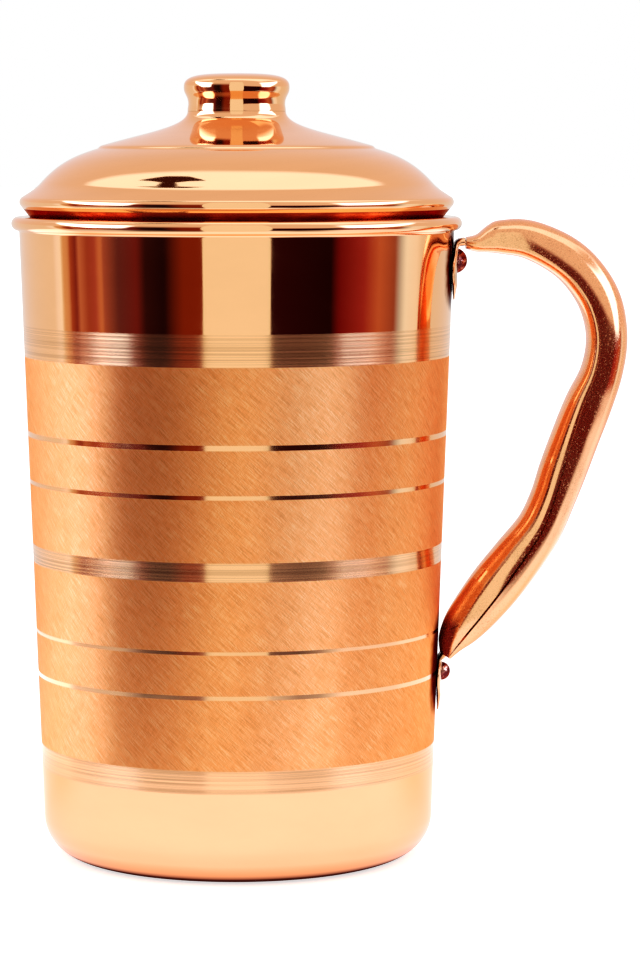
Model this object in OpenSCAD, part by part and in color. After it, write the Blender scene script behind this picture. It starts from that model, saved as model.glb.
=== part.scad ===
// Copper water jug: a spun cup with a curled lip, a hollow two-shell handle
// riveted on through leaf-shaped brackets, and a lift-off spun lid with a knob.
// Millimetres, +Z up. The origin is the centre of the flat base, and the
// handle points along +X.

/* [Jug body] */
// Radius of the wall's outside at the lip
wall_top_r = 58.1; // [58:0.1:58.3]
// Radius of the wall's outside just above the base's corner
wall_bottom_r = 52.4; // [50:0.1:54]
// Height of the middle of the curled lip
lip_z = 170.1; // [169:0.1:171]
// Radius of the round between base and wall
base_round_r = 11; // [6:0.5:14]
// Thickness of the copper sheet
sheet = 0.7; // [0.6:0.05:0.9]

/* [Curled lip] */
// Outermost radius of the lip
lip_outer_r = 60.2; // [60:0.1:61]
// Radius of the mouth, at the lip's inner edge
mouth_r = 54.6; // [54.4:0.1:54.8]
// Height of the lip from top to bottom
lip_h = 3.7; // [3.4:0.1:3.8]

/* [Lid] */
// Outermost radius of the lid's folded brim
brim_r = 58; // [57.8:0.1:58.2]
// Height of the middle of the brim's nose above the base
brim_z = 175.8; // [175.8:0.1:177]
// Radius of the brim's rounded nose
nose_r = 1.6; // [1.5:0.1:1.7]
// Radius of the raised ring on top of the lid
ring_r = 36.6; // [34:0.1:39]
// Height of the raised ring above the base
ring_z = 190.6; // [190:0.1:191]
// Height of the knob's foot above the base
foot_z = 199.6; // [199:0.1:200]
// Radius of the lid's neck where the knob stands on it
foot_r = 13.2; // [12.8:0.1:14]
// How far the skirt hangs below the middle of the lip
skirt_drop = 7.6; // [5:0.1:12]

/* [Knob] */
// Largest radius of the knob
knob_r = 14.1; // [13.8:0.1:15]
// Radius of the knob's waist
waist_r = 12.9; // [12.7:0.1:13]
// Height of the knob's top above the base
knob_top_z = 209.9; // [209:0.1:212]

/* [Handle] */
// Thickness of the handle's two shells
shell_t = 0.8; // [0.6:0.05:0.85]
// Half of the handle's width across the grip
grip_half_w = 9.5; // [8:0.1:11]
// How far the inner shell's sides stand in from the outer shell's
shell_step = 0.6; // [0.3:0.1:0.8]

/* [Brackets and rivets] */
// Thickness of the leaf-shaped brackets
leaf_t = 1.2; // [1:0.1:1.3]
// Width of the upper leaf
upper_leaf_w = 20; // [16:0.5:24]
// Width of the lower leaf
lower_leaf_w = 14; // [11:0.5:16]
// Diameter of the upper rivet's domed head
upper_head_d = 6.6; // [6:0.1:6.6]
// Diameter of the lower rivet's domed head
lower_head_d = 5; // [4.5:0.1:5.2]
// Diameter of both rivets' shanks
shank_d = 3; // [2.5:0.1:3.2]

/* [Hidden] */
$fn = 180;
copper = [0.85, 0.5, 0.32];
satin_copper = [0.82, 0.52, 0.34];
dark_copper = [0.62, 0.34, 0.22];

// Clearances
fit_gap = 0.05;
tip_gap = 0.45;

// Lip: two round ends joined by a flat top and bottom
lip_round_r = lip_h / 2;
lip_out_x = lip_outer_r - lip_round_r;
lip_in_x = mouth_r + lip_round_r;
lip_slot_w = 0.4;

// Wall: a straight line that leans outwards, tangent to the base's round
lip_bottom_z = lip_z - lip_round_r;
wall_lean = atan((wall_top_r - wall_bottom_r) / (lip_bottom_z - base_round_r));
base_round_x = wall_bottom_r - base_round_r;
function wall_r(z) = wall_bottom_r + (z - base_round_r) * tan(wall_lean);

// Lid cone: the flank under the brim, and the skirt below it
cone_lean = 39.4;
nose_x = brim_r - nose_r;
cone_top = [nose_x + nose_r * cos(cone_lean), brim_z - nose_r * sin(cone_lean)];
function cone_x(z) = cone_top[0] - (cone_top[1] - z) * tan(cone_lean);
skirt_r = cone_x(lip_z);
fold_len = 1;
lap_len = 2.2;

// Handle seam: the line where the two shells meet, from the neck under the
// lip, round the grip, down to the wall. Each station is
// [x, z, depth of the outer shell, depth of the inner shell, half width]
w = grip_half_w;
SEAM = [
    [61.2, 164.6, 1.8, 1.4, 5.8],
    [64.2, 164.5, 2.7, 2.1, 6.6],
    [67.6, 164.6, 5.2, 2.4, 7.3],
    [71.2, 164.6, 6.5, 2.8, 8],
    [77.5, 163.4, 7.6, 2.8, w - 0.5],
    [85, 159.4, 8.5, 2.7, w],
    [90.5, 154.8, 8.5, 3, w],
    [94.8, 148, 8.4, 3.1, w],
    [96.7, 139.5, 7.9, 3.1, w],
    [95.6, 130.7, 7.8, 3.4, w],
    [92.4, 122, 8.2, 4.4, w],
    [89.6, 113.2, 7.7, 5.1, w],
    [87, 104, 6.8, 5.8, w],
    [84.4, 95.5, 5.9, 5.9, w],
    [81.2, 87.8, 5.6, 6.4, w],
    [75.9, 79.7, 5.6, 7.4, w],
    [70.4, 71.9, 5.3, 8, w - 0.3],
    [65.3, 65.2, 4.5, 7.6, w - 1],
    [61.6, 60.5, 3.5, 6.8, w - 2],
    [58.6, 56.4, 1.9, 5.1, w - 3.3],
    [56.7, 53.4, 1, 2.6, w - 4.6]
];
STEPS = 3;
ARCH = 12;

// Bracket heights
upper_rivet_z = 160.1;
upper_tip_z = 149.6;
upper_widest_z = 158.4;
tongue_top_z = 165.2;
lower_rivet_z = 49.3;
lower_tip_z = 38.7;
lower_widest_z = 49;
lower_leaf_top_z = 53;

// ---- functions ----

function reverse(list) = [for (i = [len(list) - 1:-1:0]) list[i]];

function bezier(a, b, c, d, n) = [
    for (i = [0:n]) let (t = i / n, u = 1 - t)
        u * u * u * a + 3 * u * u * t * b + 3 * u * t * t * c + t * t * t * d
];

function arc(cx, cz, r, from, to, n) = [
    for (i = [0:n]) let (a = from + (to - from) * i / n)
        [cx + r * cos(a), cz + r * sin(a)]
];

function unit(v) = v / norm(v);

// Direction of a path at point i, by its neighbours
function heading(p, i) = unit(p[min(i + 1, len(p) - 1)] - p[max(i - 1, 0)]);

// The path moved to its right-hand side by t
function beside(p, t) = [
    for (i = [0:len(p) - 1]) let (h = heading(p, i))
        p[i] + t * [h[1], -h[0]]
];

// Catmull-Rom curve through stations of any number of values
function blend(a, b, c, d, t) =
    0.5 * (2 * b + (c - a) * t + (2 * a - 5 * b + 4 * c - d) * t * t
        + (3 * b - a - 3 * c + d) * t * t * t);

function through(p, n) = [
    for (i = [0:len(p) - 2]) for (k = [0:n - 1])
        blend(p[max(i - 1, 0)], p[i], p[i + 1], p[min(i + 2, len(p) - 1)], k / n),
    p[len(p) - 1]
];

// One point of a half-oval arch, 0 to 180 degrees, fuller than an ellipse
function oval(half_w, depth, a) = [
    half_w * sign(cos(a)) * pow(abs(cos(a)), 0.8),
    depth * pow(abs(sin(a)), 0.8)
];

// Closed outline of one shell's section: over the outside, back on the inside
function shell_section(half_w, depth) = concat(
    [for (i = [0:ARCH]) oval(half_w, depth, 180 * i / ARCH)],
    [for (i = [ARCH:-1:0]) oval(half_w - shell_t, depth - shell_t, 180 * i / ARCH)]
);

// ---- helpers ----

// Sheet metal of revolution along an outside path, thickness on its right
module spun(path, t) {
    inside = [for (p = beside(path, t)) [max(0, p[0]), p[1]]];
    rotate_extrude()
        polygon(concat(path, reverse(inside)));
}

// Outline of the cup's inside or outside, standing in from the outside by inset
module cup_outline(inset) {
    r = base_round_r - inset;
    top = lip_z - lip_round_r + sheet / 2;
    polygon([
        [0, inset],
        [base_round_x, inset],
        [base_round_x + r * cos(wall_lean), base_round_r - r * sin(wall_lean)],
        [wall_r(top) - inset / cos(wall_lean), top],
        [0, top]
    ]);
    intersection() {
        translate([base_round_x, base_round_r])
            circle(r = r);
        square([wall_bottom_r, base_round_r]);
    }
}

// Rounded bar of the lip's section
module lip_outline(r) {
    for (x = [lip_in_x, lip_out_x])
        translate([x, lip_z])
            circle(r = r);
    translate([lip_in_x, lip_z - r])
        square([lip_out_x - lip_in_x, 2 * r]);
}

// Places children on the wall at height z, with +Z pointing out of the wall
module on_wall(z) {
    translate([wall_r(z), 0, z])
        rotate([0, 90 + wall_lean, 0])
            children();
}

// Leaf with its point down, widest at widest_z and narrower again at the top
module leaf_outline(width, tip_z, widest_z, top_z, top_w) {
    low = widest_z - tip_z;
    high = top_z - widest_z;
    side = concat(
        bezier([0, tip_z], [width * 0.14, tip_z + low * 0.22],
            [width / 2, widest_z - low * 0.62], [width / 2, widest_z], 14),
        bezier([width / 2, widest_z + 0.05], [width / 2, widest_z + high * 0.5],
            [top_w / 2, top_z - high * 0.3], [top_w / 2, top_z], 8)
    );
    polygon(concat(side, reverse([for (p = side) if (p[0] > 0) [-p[0], p[1]]])));
}

// The leaf pressed to the wall's curve, with its rivet hole. Below the rivet's
// head it stands off the wall a little more, up to tip_gap.
module leaf_plate(width, tip_z, widest_z, top_z, top_w, rivet_z, head_d) {
    bottom = tip_z - 1;
    bend_z = rivet_z - head_d / 2 - 0.3;
    difference() {
        intersection() {
            rotate_extrude()
                polygon([
                    [wall_r(bottom) + tip_gap, bottom],
                    [wall_r(bottom) + tip_gap + leaf_t, bottom],
                    [wall_r(bend_z) + fit_gap + leaf_t, bend_z],
                    [wall_r(top_z) + fit_gap + leaf_t, top_z],
                    [wall_r(top_z) + fit_gap, top_z],
                    [wall_r(bend_z) + fit_gap, bend_z]
                ]);
            rotate([90, 0, 90])
                linear_extrude(height = wall_top_r + 5)
                    leaf_outline(width, tip_z, widest_z, top_z, top_w);
        }
        rivet_hole(rivet_z);
    }
}

module rivet_hole(z) {
    on_wall(z)
        translate([0, 0, -6])
            cylinder(d = shank_d + 2 * fit_gap, h = 12, $fn = 48);
}

// Domed head outside, shank through bracket and wall, flat head inside
module rivet(z, head_d, head_h) {
    inner_d = head_d * 0.8;
    inner_h = 0.8;
    dome_r = (head_d * head_d / 4 + head_h * head_h) / (2 * head_h);
    seat = leaf_t + 2 * fit_gap;
    inner_seat = sheet + 0.15;
    on_wall(z) {
        intersection() {
            translate([0, 0, seat + head_h - dome_r])
                sphere(r = dome_r, $fn = 96);
            translate([0, 0, seat])
                cylinder(d = head_d, h = head_h, $fn = 96);
        }
        translate([0, 0, -inner_seat - inner_h / 2])
            cylinder(d = shank_d, h = seat + inner_seat + inner_h, $fn = 48);
        translate([0, 0, -inner_seat - inner_h])
            cylinder(d = inner_d, h = inner_h, $fn = 96);
    }
}

// One shell of the handle, swept along the seam. side is 1 for the outer
// shell and -1 for the inner one.
module swept_shell(side) {
    path = through(SEAM, STEPS);
    spine = [for (p = path) [p[0], p[1]]];
    ring_n = 2 * (ARCH + 1);
    last = len(path) - 1;
    points = [
        for (i = [0:last])
            let (
                h = heading(spine, i),
                out = [-h[1], h[0]] * side,
                depth = side > 0 ? path[i][2] : path[i][3],
                half_w = path[i][4] - (side > 0 ? 0 : shell_step)
            )
            for (s = shell_section(half_w, depth))
                let (n = s[1] + (side > 0 ? 0 : fit_gap))
                    [path[i][0] + out[0] * n, s[0] * side, path[i][1] + out[1] * n]
    ];
    sides = [
        for (i = [0:last - 1]) for (j = [0:ring_n - 1])
            let (
                a = i * ring_n + j,
                b = i * ring_n + (j + 1) % ring_n,
                c = a + ring_n,
                d = b + ring_n
            )
            each [[a, c, b], [b, c, d]]
    ];
    caps = [
        for (j = [0:ARCH - 1])
            let (a = j, b = j + 1, c = ring_n - 2 - j, d = ring_n - 1 - j, e = last * ring_n)
            each [
                [a, b, c], [a, c, d],
                [a + e, c + e, b + e], [a + e, d + e, c + e]
            ]
    ];
    polyhedron(points, concat(sides, caps));
}

// ---- sub-parts ----

module jug_body() {
    color(satin_copper)
        difference() {
            rotate_extrude()
                union() {
                    difference() {
                        cup_outline(0);
                        cup_outline(sheet);
                        translate([0, lip_bottom_z + sheet / 2])
                            square([wall_top_r + 2, sheet]);
                    }
                    difference() {
                        lip_outline(lip_round_r);
                        lip_outline(lip_round_r - sheet);
                        translate([wall_top_r + 0.1, lip_bottom_z - 1])
                            square([lip_slot_w, 1 + 2 * sheet]);
                    }
                }
            rivet_hole(upper_rivet_z);
            rivet_hole(lower_rivet_z);
        }
}

module handle_outer_shell() {
    color(copper)
        swept_shell(1);
}

module handle_inner_shell() {
    color(copper)
        swept_shell(-1);
}

// Leaf on the wall, bent outwards into a thick cuff that meets the handle,
// with a tongue on into the handle's neck
module upper_leaf_bracket() {
    bend_z = 163.45;
    cuff_top_z = 166.2;
    cuff_low_z = 164.1;
    cuff_half_w = 4.5;
    cuff_gap = 0.3;
    cuff_end = SEAM[0][0] - cuff_gap;
    back = wall_r(cuff_top_z) + fit_gap;
    tongue_t = 1.1;
    tongue_half_w = 2.2;
    tongue_len = 3.1;
    color(copper) {
        leaf_plate(upper_leaf_w, upper_tip_z, upper_widest_z, bend_z + 0.05,
            upper_leaf_w * 0.55, upper_rivet_z, upper_head_d);
        rotate([90, 0, 0])
            translate([0, 0, -cuff_half_w])
                linear_extrude(height = 2 * cuff_half_w)
                    polygon(concat(
                        bezier([back, bend_z], [back, cuff_top_z - 0.8],
                            [back + 0.7, cuff_top_z], [cuff_end, cuff_top_z], 12),
                        bezier([cuff_end, cuff_low_z], [back + leaf_t + 0.3, cuff_low_z],
                            [back + leaf_t, cuff_low_z - 0.2], [back + leaf_t, bend_z], 8)
                    ));
        translate([cuff_end - 0.01, -tongue_half_w, tongue_top_z - tongue_t])
            cube([tongue_len, 2 * tongue_half_w, tongue_t]);
    }
}

// Leaf on the wall, bent up and out into the tongue inside the handle's end
module lower_leaf_bracket() {
    tongue_half_w = 2;
    tongue_lean = 42;
    tongue_t = 0.6;
    tongue_len = 5.2;
    foot = [wall_r(lower_leaf_top_z) + fit_gap + leaf_t / 2, lower_leaf_top_z - 0.7];
    color(copper) {
        leaf_plate(lower_leaf_w, lower_tip_z, lower_widest_z, lower_leaf_top_z,
            lower_leaf_w * 0.6, lower_rivet_z, lower_head_d);
        translate([foot[0], 0, foot[1]])
            rotate([0, tongue_lean, 0])
                translate([-tongue_t / 2, -tongue_half_w, 0])
                    cube([tongue_t, 2 * tongue_half_w, tongue_len]);
    }
}

module upper_rivet() {
    color(dark_copper)
        rivet(upper_rivet_z, upper_head_d, 2.5);
}

module lower_rivet() {
    color(dark_copper)
        rivet(lower_rivet_z, lower_head_d, 2.3);
}

// Neck, flared top, raised ring, shoulder, brim and the fold under it
module lid_dome() {
    shoulder_end = [53.2, 179.8];
    flare_a = 57;
    neck_r = waist_r - sheet - 2 * fit_gap;
    path = concat(
        [[neck_r, foot_z + 3.2], [neck_r, foot_z + 0.3]],
        bezier([foot_r - 0.1, foot_z], [foot_r + 0.1, foot_z - 4.1],
            [ring_r - 12.6, ring_z + 3.7], [ring_r, ring_z], 16),
        bezier([ring_r + 0.1, ring_z - 0.6], [ring_r + 6.4, ring_z - 2.4],
            [shoulder_end[0] - 5, shoulder_end[1] + 5.7], shoulder_end, 12),
        arc(nose_x, brim_z, nose_r, flare_a, -cone_lean, 12),
        [cone_top - fold_len * [sin(cone_lean), cos(cone_lean)]]
    );
    color(copper)
        spun(path, sheet);
}

// Lap inside the fold, cone that sits in the mouth, and the skirt
module lid_collar() {
    down = [-sin(cone_lean), -cos(cone_lean)];
    inward = [-cos(cone_lean), sin(cone_lean)];
    start = cone_top + (fold_len + fit_gap) * down;
    path = [start, [cone_x(lip_z + 0.4), lip_z + 0.4], [skirt_r, lip_z - 0.4],
        [skirt_r, lip_z - skirt_drop]];
    color(copper)
        rotate_extrude()
            union() {
                polygon(concat(path, reverse(beside(path, sheet))));
                polygon([
                    cone_top + (sheet + fit_gap) * inward,
                    start + (sheet + fit_gap) * inward,
                    cone_top + lap_len * down + (sheet - 0.1) * inward,
                    cone_top + lap_len * down + (sheet + 0.6) * inward,
                    cone_top + (sheet + 0.6) * inward
                ]);
            }
}

// Hollow knob: crown, waist and foot
module lid_knob() {
    belly_z = knob_top_z - 3.5;
    waist_z = foot_z + 1.8;
    path = concat(
        bezier([0, knob_top_z], [knob_r - 5, knob_top_z],
            [knob_r, knob_top_z - 0.3], [knob_r, belly_z], 10),
        bezier([knob_r, belly_z - 0.3], [knob_r, belly_z - 2.2],
            [waist_r, waist_z + 2.4], [waist_r, waist_z], 8),
        [[foot_r, foot_z + 0.35]]
    );
    color(copper)
        spun(path, sheet);
}

jug_body();
handle_outer_shell();
handle_inner_shell();
upper_leaf_bracket();
lower_leaf_bracket();
upper_rivet();
lower_rivet();
lid_dome();
lid_collar();
lid_knob();
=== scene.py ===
"""Copper water jug: the looks of the part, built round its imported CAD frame.

Lengths in the tables are millimetres, heights count from the base, and radii
from the jug's axis. MM turns them into Blender's metres.
"""

import math

import bpy
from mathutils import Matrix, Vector, noise


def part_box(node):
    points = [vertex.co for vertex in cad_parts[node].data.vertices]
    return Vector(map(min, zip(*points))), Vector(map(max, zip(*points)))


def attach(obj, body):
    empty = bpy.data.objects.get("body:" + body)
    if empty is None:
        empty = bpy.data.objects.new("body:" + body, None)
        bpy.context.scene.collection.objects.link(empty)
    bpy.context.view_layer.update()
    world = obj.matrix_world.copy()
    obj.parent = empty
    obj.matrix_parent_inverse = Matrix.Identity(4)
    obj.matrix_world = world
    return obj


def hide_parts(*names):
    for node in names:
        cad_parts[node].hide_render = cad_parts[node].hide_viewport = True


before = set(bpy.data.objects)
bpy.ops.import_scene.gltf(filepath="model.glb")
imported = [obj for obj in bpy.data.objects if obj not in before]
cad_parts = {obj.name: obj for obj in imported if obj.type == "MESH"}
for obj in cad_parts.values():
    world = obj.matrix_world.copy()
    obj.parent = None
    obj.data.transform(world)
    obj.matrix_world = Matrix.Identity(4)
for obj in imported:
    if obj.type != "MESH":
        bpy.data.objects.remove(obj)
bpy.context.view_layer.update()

MM = 0.001
BODY_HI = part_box("jug_body")[1]
DOME_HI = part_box("lid_dome")[1]
COLLAR_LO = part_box("lid_collar")[0]
KNOB_LO, KNOB_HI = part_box("lid_knob")

# Sheet metal of the cup and the lid, and of the handle's shells
SHEET = 0.7
SHELL_T = 0.8

# Jug body
LIP_OUTER_R = BODY_HI.y / MM
LIP_TOP = BODY_HI.z / MM
LIP_ROUND = 1.85
LIP_Z = LIP_TOP - LIP_ROUND
MOUTH_R = 54.6
WALL_TOP_R = 58.1
WALL_TOP_Z = LIP_Z - LIP_ROUND
WALL_BOTTOM_R = 52.4
BASE_ROUND = 11.0
WALL_FLARE = (WALL_TOP_R - WALL_BOTTOM_R) / (WALL_TOP_Z - BASE_ROUND)

# Lid: the brim's rounded nose, the cone under it, the shoulder, the raised
# ring, and the knob with its foot and waist
BRIM_R = DOME_HI.y / MM
BRIM_Z = 175.8
NOSE_R = 1.6
CONE_LEAN = math.radians(39.4)
SKIRT_END = COLLAR_LO.z / MM
SHOULDER_R, SHOULDER_Z = 52.4, 180.7
RING_R, RING_Z = 36.6, 190.6
FOOT_R = 13.2
FOOT_Z = KNOB_LO.z / MM
WAIST_R = 12.9
WAIST_Z = FOOT_Z + 1.8
KNOB_R = KNOB_HI.y / MM
KNOB_TOP = KNOB_HI.z / MM
BELLY_Z = KNOB_TOP - 3.5

# Leaf brackets: the plate's thickness, and its gap from the wall under the
# rivet and at the tip
LEAF_T = 1.2
FIT_GAP = 0.05
TIP_GAP = 0.45
UPPER_LEAF = {
    "width": 20, "tip_z": 149.6, "widest_z": 158.4, "top_z": 163.45,
    "top_share": 0.55, "rivet_z": 160.1, "head_d": 6.6,
}
LOWER_LEAF = {
    "width": 14, "tip_z": 38.7, "widest_z": 49, "top_z": 52.6,
    "top_share": 0.6, "rivet_z": 49.3, "head_d": 5,
}

# Cuff that the upper leaf ends in, and the tongue on it that goes into the
# handle's neck
CUFF_TOP_Z = 166.2
CUFF_LOW_Z = 164.1
CUFF_HALF_W = 4.5
CUFF_GAP = 0.3
TONGUE_T = 1.1
TONGUE_HALF_W = 2.2
TONGUE_LEN = 3.0

# Finish of the outside wall: each band starts at its height
BANDS = [
    (0.0, "polished"),
    (24.8, "turned"),
    (30.9, "satin"),
    (49.4, "stripe"),
    (50.5, "satin"),
    (61.1, "stripe"),
    (62.0, "satin"),
    (80.0, "turned"),
    (84.9, "satin"),
    (101.1, "stripe"),
    (102.2, "satin"),
    (113.7, "stripe"),
    (115.1, "satin"),
    (134.9, "turned"),
    (143.3, "polished"),
]

# Seam between the handle's two shells: x, z, depth of the outer shell, depth
# of the inner shell, half width. The inner shell is narrower by SHELL_STEP on
# each side, and the seam opens by up to SEAM_GAP.
GRIP = 9.5
SHELL_STEP = 0.6
SEAM_GAP = 0.5
SEAM = [
    (61.2, 164.6, 1.8, 1.4, 5.8),
    (64.2, 164.5, 2.7, 2.1, 6.6),
    (67.6, 164.6, 5.2, 2.4, 7.3),
    (71.2, 164.6, 6.5, 2.8, 8),
    (77.5, 163.4, 7.6, 2.8, GRIP - 0.5),
    (85, 159.4, 8.5, 2.7, GRIP),
    (90.5, 154.8, 8.5, 3, GRIP),
    (94.8, 148, 8.4, 3.1, GRIP),
    (96.7, 139.5, 7.9, 3.1, GRIP),
    (95.6, 130.7, 7.8, 3.4, GRIP),
    (92.4, 122, 8.2, 4.4, GRIP),
    (89.6, 113.2, 7.7, 5.1, GRIP),
    (87, 104, 6.8, 5.8, GRIP),
    (84.4, 95.5, 5.9, 5.9, GRIP),
    (81.2, 87.8, 5.6, 6.4, GRIP),
    (75.9, 79.7, 5.6, 7.4, GRIP),
    (70.4, 71.9, 5.3, 8, GRIP - 0.3),
    (65.3, 65.2, 4.5, 7.6, GRIP - 1),
    (61.6, 60.5, 3.5, 6.8, GRIP - 2),
    (58.6, 56.4, 1.9, 5.1, GRIP - 3.3),
    (56.7, 53.4, 1, 2.6, GRIP - 4.6),
]

# Copper as the finish shows it: facing the eye, and at a glancing angle
COPPER = (0.95, 0.47, 0.22)
COPPER_EDGE = (1.0, 0.96, 0.92)

# Painted shade round the leaf brackets, where they darken the wall: the middle's
# height and the reach up and down, in metres, and the reach round the jug in radians
BRACKET_SHADES = [(0.1585, 0.0115), (0.0522, 0.0142)]
BRACKET_SHADE_TURN = 0.3
BRACKET_SHADE_COLOUR = (0.12, 0.012, 0.01)


# ---------------------------------------------------------------- curves


def bezier(a, b, c, d, n):
    """n + 1 points of a cubic curve from a to d."""
    points = []
    for i in range(n + 1):
        t = i / n
        u = 1 - t
        points.append(tuple(
            u ** 3 * a[k] + 3 * u * u * t * b[k] + 3 * u * t * t * c[k] + t ** 3 * d[k]
            for k in range(2)
        ))
    return points


def arc(cx, cz, r, start, end, n):
    """n + 1 points of an arc, angles in degrees from the radial direction."""
    angles = [math.radians(start + (end - start) * i / n) for i in range(n + 1)]
    return [(cx + r * math.cos(a), cz + r * math.sin(a)) for a in angles]


def line(a, b, step):
    """Points from a to b, no more than step apart, without b."""
    n = max(1, math.ceil(math.dist(a, b) / step))
    return [tuple(a[k] + (b[k] - a[k]) * i / n for k in range(2)) for i in range(n)]


def beside(path, t):
    """The path moved to its right-hand side by t, kept off the axis's far side."""
    moved = []
    for i, p in enumerate(path):
        a, b = path[max(i - 1, 0)], path[min(i + 1, len(path) - 1)]
        size = math.dist(a, b)
        moved.append((
            max(0.0, p[0] + t * (b[1] - a[1]) / size),
            p[1] - t * (b[0] - a[0]) / size,
        ))
    return moved


def catmull(stations, steps):
    """A smooth curve through stations of any number of values."""
    out = []
    last = len(stations) - 1
    for i in range(last):
        a, b = stations[max(i - 1, 0)], stations[i]
        c, d = stations[i + 1], stations[min(i + 2, last)]
        for k in range(steps):
            t = k / steps
            out.append([
                0.5 * (2 * q + (r - p) * t + (2 * p - 5 * q + 4 * r - s) * t * t
                       + (3 * q - p - 3 * r + s) * t ** 3)
                for p, q, r, s in zip(a, b, c, d)
            ])
    out.append(list(stations[last]))
    return out


# ---------------------------------------------------------------- meshes


def make_object(name, verts, faces, uvs, slots, materials, crease=40):
    """A smooth mesh object, with sharp edges where faces meet at more than
    crease degrees. uvs holds one pair per face corner, in metres, and slots
    the number of each face's material."""
    mesh = bpy.data.meshes.new(name)
    mesh.from_pydata(verts, [], faces)
    for material in materials:
        mesh.materials.append(material)
    layer = mesh.uv_layers.new(name="UVMap")
    flat = [c for face in uvs for uv in face for c in uv]
    layer.data.foreach_set("uv", flat)
    mesh.polygons.foreach_set("material_index", slots)
    mesh.polygons.foreach_set("use_smooth", [True] * len(faces))
    mesh.set_sharp_from_angle(angle=math.radians(crease))
    mesh.validate()
    mesh.update()
    obj = bpy.data.objects.new(name, mesh)
    bpy.context.scene.collection.objects.link(obj)
    return obj


def lathe(name, path, zones, materials, segments=288, wobble=0.0):
    """A closed solid of revolution. path is a list of (radius, height) in
    millimetres from axis to axis or all the way round, and zones names the
    material of the stretch that starts at each point. wobble is how far the
    surface strays from a true circle, in millimetres."""
    names = list(materials)
    axis_r = 1e-6
    on_axis = path[0][0] < axis_r
    count = len(path)
    lumps_round, lumps_up = 2.2, 0.045
    rings = []
    verts = []
    for r, z in path:
        if r < axis_r:
            rings.append([len(verts)] * segments)
            verts.append((0, 0, z * MM))
            continue
        ring = []
        for s in range(segments):
            a = 2 * math.pi * s / segments
            where = (math.cos(a) * lumps_round, math.sin(a) * lumps_round, z * lumps_up)
            uneven_r = r + wobble * noise.noise(Vector(where))
            ring.append(len(verts))
            verts.append((uneven_r * math.cos(a) * MM, uneven_r * math.sin(a) * MM, z * MM))
        rings.append(ring)
    faces, uvs, slots = [], [], []
    along = 0.0
    for i in range(count - 1 if on_axis else count):
        j = (i + 1) % count
        length = math.dist(path[i], path[j]) * MM
        reach = max(path[i][0], path[j][0]) * MM
        slot = names.index(zones[i])
        for s in range(segments):
            t = (s + 1) % segments
            corners = [
                (rings[i][s], s, along), (rings[i][t], s + 1, along),
                (rings[j][t], s + 1, along + length), (rings[j][s], s, along + length),
            ]
            kept = []
            for corner in corners:
                if corner[0] not in [k[0] for k in kept]:
                    kept.append(corner)
            if len(kept) < 3:
                continue
            faces.append([k[0] for k in kept])
            uvs.append([(2 * math.pi * k[1] / segments * reach, k[2]) for k in kept])
            slots.append(slot)
        along += length
    return make_object(name, verts, faces, uvs, slots, list(materials.values()))


def sheet_ring(name, path, zone, materials, segments=288, wobble=0.0):
    """Sheet metal of revolution: the outside path and its inside, closed."""
    outline = path + beside(path, SHEET)[::-1]
    zones = [zone] * len(outline)
    return lathe(name, outline, zones, {zone: materials[zone]}, segments, wobble)


def tube_faces(along, count):
    """Faces and UVs between rows of count points, each row closed round. along
    is how far along each row lies, in millimetres."""
    faces, uvs = [], []
    for i in range(len(along) - 1):
        low, high = along[i] * MM, along[i + 1] * MM
        for j in range(count):
            k = (j + 1) % count
            faces.append([i * count + j, i * count + k, (i + 1) * count + k, (i + 1) * count + j])
            uvs.append([(j * MM, low), ((j + 1) * MM, low), ((j + 1) * MM, high), (j * MM, high)])
    return faces, uvs


# ---------------------------------------------------------------- materials


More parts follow.
